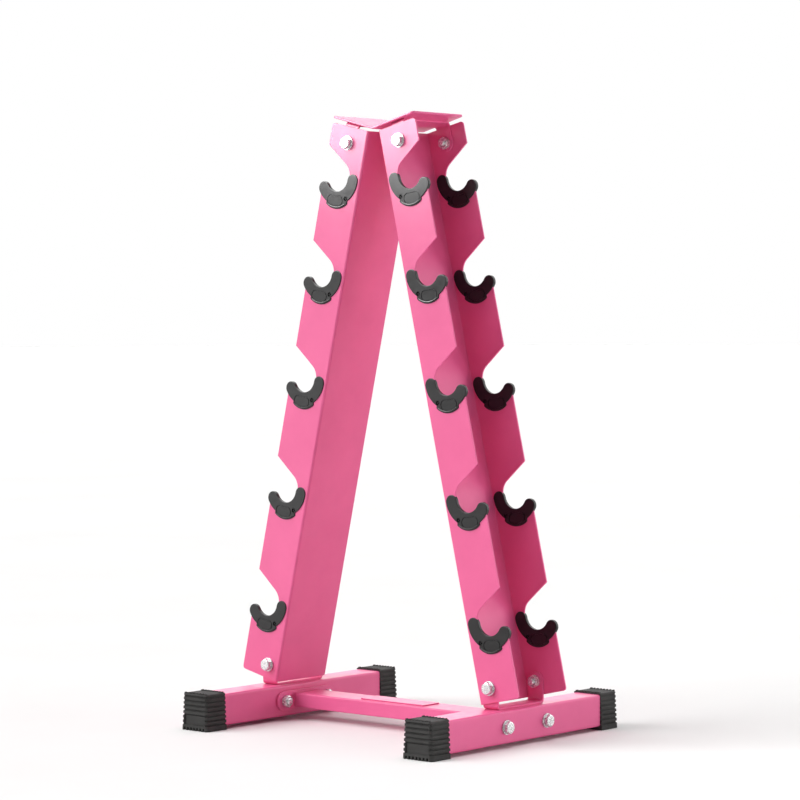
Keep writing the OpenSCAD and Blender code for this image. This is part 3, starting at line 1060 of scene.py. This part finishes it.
def rib_bar(x, low, width):
    """Rounded lengthwise rib on top of a cap, lower between its two ends."""
    half = width / 2
    stations = [(2.0, 0.0), (4.2, 0.0), (4.9, RIB_DIP), (CAP_LENGTH - 3.6, RIB_DIP),
                (CAP_LENGTH - 2.9, 0.0), (CAP_LENGTH - 0.3, 0.0)]
    rings = []
    for y, drop in stations:
        profile = [(-half, low), (half, low)]
        for k in range(7):
            a = math.pi * k / 6
            height = CAP_TOP - drop - RIB_ROUND + RIB_ROUND * math.sin(a)
            profile.append((half * math.cos(a), height))
        rings.append([(x + px, y, pz) for px, pz in profile])
    return flipped(ring_stack(rings))


def master_cap():
    """End cap: ribbed sleeve with a socket for the tube, teeth at its base and ribs on top."""
    body = new_object("cap", cap_body_data())
    width = TUBE + SOCKET_PLAY
    socket = rounded_rect(width, width, SOCKET_CORNER, (0, BAR_Z))
    rings = [[(x, y, z) for x, z in socket] for y in (CAP_END, CAP_LENGTH + 1)]
    cut(body, new_object("socket", flipped(ring_stack(rings))))
    count, pitch, half, depth, height = TEETH
    for k in range(count):
        x = (k - (count - 1) / 2) * pitch
        cut(body, new_object("tooth", box_data((x - half, -1, -1), (x + half, depth, height))))
    count, pitch, width = TOP_RIBS
    low = CAP_TOP - RIB_HEIGHT - RIB_ROOT
    for k in range(count):
        x = (k - (count - 1) / 2) * pitch
        cut(body, new_object("rib", rib_bar(x, low, width)), "UNION")
    soften(body, 38)
    weigh_normals(body)
    return body


def make_caps():
    """The four caps, each with its end face at the end of a foot."""
    foot_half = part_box("front_right_cap")[0].y / -MM
    master = master_cap()
    for side in SIDES:
        x = FOOT_X if side == "right" else -FOOT_X
        for face in FACES:
            spot = Matrix.Translation((x, 0, 0))
            if face == "back":
                spot = spot @ Matrix.Rotation(HALF_TURN, 4, "Z")
            spot = spot @ Matrix.Translation((0, -foot_half, 0))
            obj = copy_of(master, f"{face}_{side}_foot_cap", spot)
            hand_in(obj, CAP_PLASTIC, "cap_plastic", f"{face}_{side}_cap")
    bpy.data.objects.remove(master)


# ---- feet and cross bar ----

def make_cross_bar():
    """The bar's end plates, and the blank plate on top of it."""
    outline = stadium(END_PLATE_LENGTH, END_PLATE_WIDTH)
    holes = [circle((y, 0), HOLE / 2, HOLE_STEPS) for y in (-BAR_PITCH / 2, BAR_PITCH / 2)]
    plate = flat_data(outline, holes, END_PLATE, END_PLATE_EDGE, ((0, 1, 0), (1, 0, 0)))
    spot = Matrix.Translation((END_PLATE_X + END_PLATE / 2, 0, BAR_Z))
    for side in SIDES:
        add_coated(side + "_bar_end_plate", plate, on_side(side) @ spot, side + "_end_plate")
    low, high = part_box("name_plate")
    size = (high - low) / MM
    outline = rounded_rect(size.x, size.y, NAME_PLATE_CORNER)
    plate = flat_data(outline, [], size.z, NAME_PLATE_EDGE, ((1, 0, 0), (0, 0, 1)))
    spot = Matrix.Translation((low + high) / 2 / MM)
    add_coated("bar_name_plate", plate, spot, "name_plate")


def keep_cad_tubes():
    """The drawn tubes are right as they are, and take the coat's material."""
    for name in ("left_foot_tube", "right_foot_tube", "cross_bar"):
        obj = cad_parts[name]
        obj.data.materials.clear()
        obj.data.materials.append(PINK)


# ---- fasteners ----

def at_flanges(at):
    """Placings on the outer face of each flange, heads outwards."""
    out = []
    for side in SIDES:
        for face in FACES:
            x = at[0] if side == "right" else -at[0]
            y = -CHANNEL / 2 if face == "front" else CHANNEL / 2
            tilt = math.pi / 2 if face == "front" else -math.pi / 2
            out.append(Matrix.Translation((x, y, at[1])) @ Matrix.Rotation(tilt, 4, "X")
                       @ Matrix.Rotation(math.pi / 6, 4, "Z"))
    return out


def at_tubes():
    """Placings on the outer face of each foot tube, heads outwards."""
    out = []
    for side in SIDES:
        sign = 1 if side == "right" else -1
        for y in (-BAR_PITCH / 2, BAR_PITCH / 2):
            out.append(Matrix.Translation((sign * (FOOT_X + TUBE / 2), y, BAR_Z))
                       @ Matrix.Rotation(sign * math.pi / 2, 4, "Y"))
    return out


def washer_data():
    """Washer about the origin, its faces square to Z."""
    return flat_data(circle((0, 0), WASHER_RADIUS), [circle((0, 0), BOLT / 2 + 0.1)],
                     WASHER, 0.25, ((1, 0, 0), (0, 0, 1)))


def make_fasteners():
    """Bolts, washers and nuts of the tops, the feet and the bar, one piece for each set."""
    sets = (
        ("top", at_flanges(TOP_BOLT_AT), SHEET + STRAP),
        ("foot", at_flanges(FOOT_BOLT_AT), SHEET + STRAP),
        ("bar", at_tubes(), TUBE + END_PLATE),
    )
    lift = Matrix.Translation((0, 0, WASHER))
    middle = Matrix.Translation((0, 0, WASHER / 2))
    for name, spots, grip in sets:
        below = Matrix.Translation((0, 0, -grip - NUT))
        kinds = (
            ("bolts", bolt_data(WASHER + grip), lift), ("washers", washer_data(), middle),
            ("nuts", nut_data(), below),
        )
        for kind, data, shift in kinds:
            parts = [(data, spot @ shift) for spot in spots]
            obj = new_object(f"{name}_zinc_{kind}", join(parts), 24 if kind != "washers" else 40)
            weigh_normals(obj)
            hand_in(obj, ZINC, "zinc", f"{name}_{kind}")


# ---- stage ----

# Camera fitted to the straight edges of the real rack: metres, and millimetres for its lens
CAMERA_AT = (2.2296, -2.5628, 0.4976)
CAMERA_AZIMUTH = math.radians(41.0)
CAMERA_PITCH = math.radians(-1.76)
CAMERA_ROLL = math.radians(-0.18)
CAMERA_LENS = 128.24
CAMERA_SENSOR = 36.0
FLOOR_RADIUS = 40.0
FLOOR_STEPS = 96
# Cosine of the angle from the backdrop at which the studio is darkest
DARKEST_AT = -0.2


def add_camera():
    """Camera that looks along its azimuth and pitch, then rolls about its own line of sight."""
    forward = Vector((
        -math.sin(CAMERA_AZIMUTH) * math.cos(CAMERA_PITCH),
        math.cos(CAMERA_AZIMUTH) * math.cos(CAMERA_PITCH),
        math.sin(CAMERA_PITCH),
    ))
    right = forward.cross(Vector((0, 0, 1))).normalized()
    up = right.cross(forward)
    level = Matrix((right, up, -forward)).transposed().to_4x4()
    rolled = level @ Matrix.Rotation(CAMERA_ROLL, 4, "Z")
    data = bpy.data.cameras.new("camera")
    data.lens = CAMERA_LENS
    data.sensor_width = CAMERA_SENSOR
    camera = add_object("camera", data)
    camera.matrix_world = Matrix.Translation(CAMERA_AT) @ rolled
    bpy.context.scene.camera = camera


def add_sun(name, direction, strength, spread):
    """Soft light from a direction, a vector towards the light; its spread is in degrees."""
    data = bpy.data.lights.new(name, "SUN")
    data.energy = strength
    data.angle = math.radians(spread)
    light = add_object(name, data)
    light.rotation_euler = Vector(direction).to_track_quat("Z", "Y").to_euler()


def add_world(backdrop, lit, sheen):
    """White behind the rack; as light, a dim studio that brightens towards its lit backdrop.

    Each pair is the level away from the backdrop and at its brightest: lit for matt light, sheen
    for reflections.
    """
    world = bpy.data.worlds.new("studio")
    world.use_nodes = True
    tree = world.node_tree
    where = tree.nodes.new("ShaderNodeTexCoord")
    path = tree.nodes.new("ShaderNodeLightPath")

    def mix(factor, a, b):
        node = tree.nodes.new("ShaderNodeMix")
        tree.links.new(factor, node.inputs["Factor"])
        for socket, value in (("A", a), ("B", b)):
            if isinstance(value, float):
                node.inputs[socket].default_value = value
            else:
                tree.links.new(value, node.inputs[socket])
        return node.outputs["Result"]

    dot = tree.nodes.new("ShaderNodeVectorMath")
    dot.operation = "DOT_PRODUCT"
    dot.inputs[1].default_value = Vector(backdrop).normalized()
    tree.links.new(where.outputs["Generated"], dot.inputs[0])
    level = tree.nodes.new("ShaderNodeMapRange")
    level.inputs["From Min"].default_value = DARKEST_AT
    tree.links.new(dot.outputs["Value"], level.inputs["Value"])
    darkest, brightest = [mix(path.outputs["Is Glossy Ray"], a, b) for a, b in zip(lit, sheen)]
    light = mix(level.outputs["Result"], darkest, brightest)
    back = tree.nodes["Background"]
    back.inputs["Color"].default_value = (1.0, 1.0, 1.0, 1.0)
    tree.links.new(mix(path.outputs["Is Camera Ray"], light, 1.0), back.inputs["Strength"])
    bpy.context.scene.world = world


def add_area(name, at, towards, size, power, diffuse=True, glossy=True):
    """Soft rectangular light, turned towards a point; it isn't seen by the camera."""
    data = bpy.data.lights.new(name, "AREA")
    data.shape = "RECTANGLE"
    data.size, data.size_y = size
    data.energy = power
    light = add_object(name, data)
    light.location = at
    light.rotation_euler = (Vector(at) - Vector(towards)).to_track_quat("Z", "Y").to_euler()
    light.visible_camera = False
    light.visible_diffuse = diffuse
    light.visible_glossy = glossy


def add_floor():
    """Wide round floor at the height of the feet."""
    mesh = bpy.data.meshes.new("floor")
    turn = [2 * math.pi * i / FLOOR_STEPS for i in range(FLOOR_STEPS)]
    ring = [(FLOOR_RADIUS * math.cos(a), FLOOR_RADIUS * math.sin(a), 0) for a in turn]
    mesh.from_pydata(ring, [], [tuple(range(FLOOR_STEPS))])
    mesh.materials.append(studio_floor())
    add_object("floor", mesh)


def add_studio():
    """Camera, floor and lights; the two boxes show only in reflections, the low fill never."""
    add_camera()
    add_floor()
    add_world(backdrop=(0.0, 1.0, 0.1), lit=(0.05, 0.45), sheen=(0.25, 2.9))
    add_sun("key", (-0.55, -0.68, 0.60), strength=2.95, spread=50)
    add_sun("overhead", (0.0, 0.0, 1.0), strength=1.42, spread=35)
    add_sun("fill", (0.80, 0.58, 0.10), strength=0.55, spread=20)
    add_area("low_fill", (1.1, 0.30, 0.22), (0.0, 0.0, 0.05),
             size=(0.5, 0.2), power=1.9, glossy=False)
    add_area("softbox", (-0.22, -0.29, 0.87), (0.0, -0.045, 0.83),
             size=(0.4, 0.35), power=8.2, diffuse=False)
    add_area("side_box", (-1.05, -0.90, 0.35), (-0.15, -0.045, 0.35),
             size=(0.4, 0.8), power=1.7, diffuse=False)
    bpy.context.scene.view_settings.view_transform = "Standard"


make_uprights()
make_saddles()
make_top()
make_foot_straps()
make_caps()
make_cross_bar()
keep_cad_tubes()
make_fasteners()
add_studio()
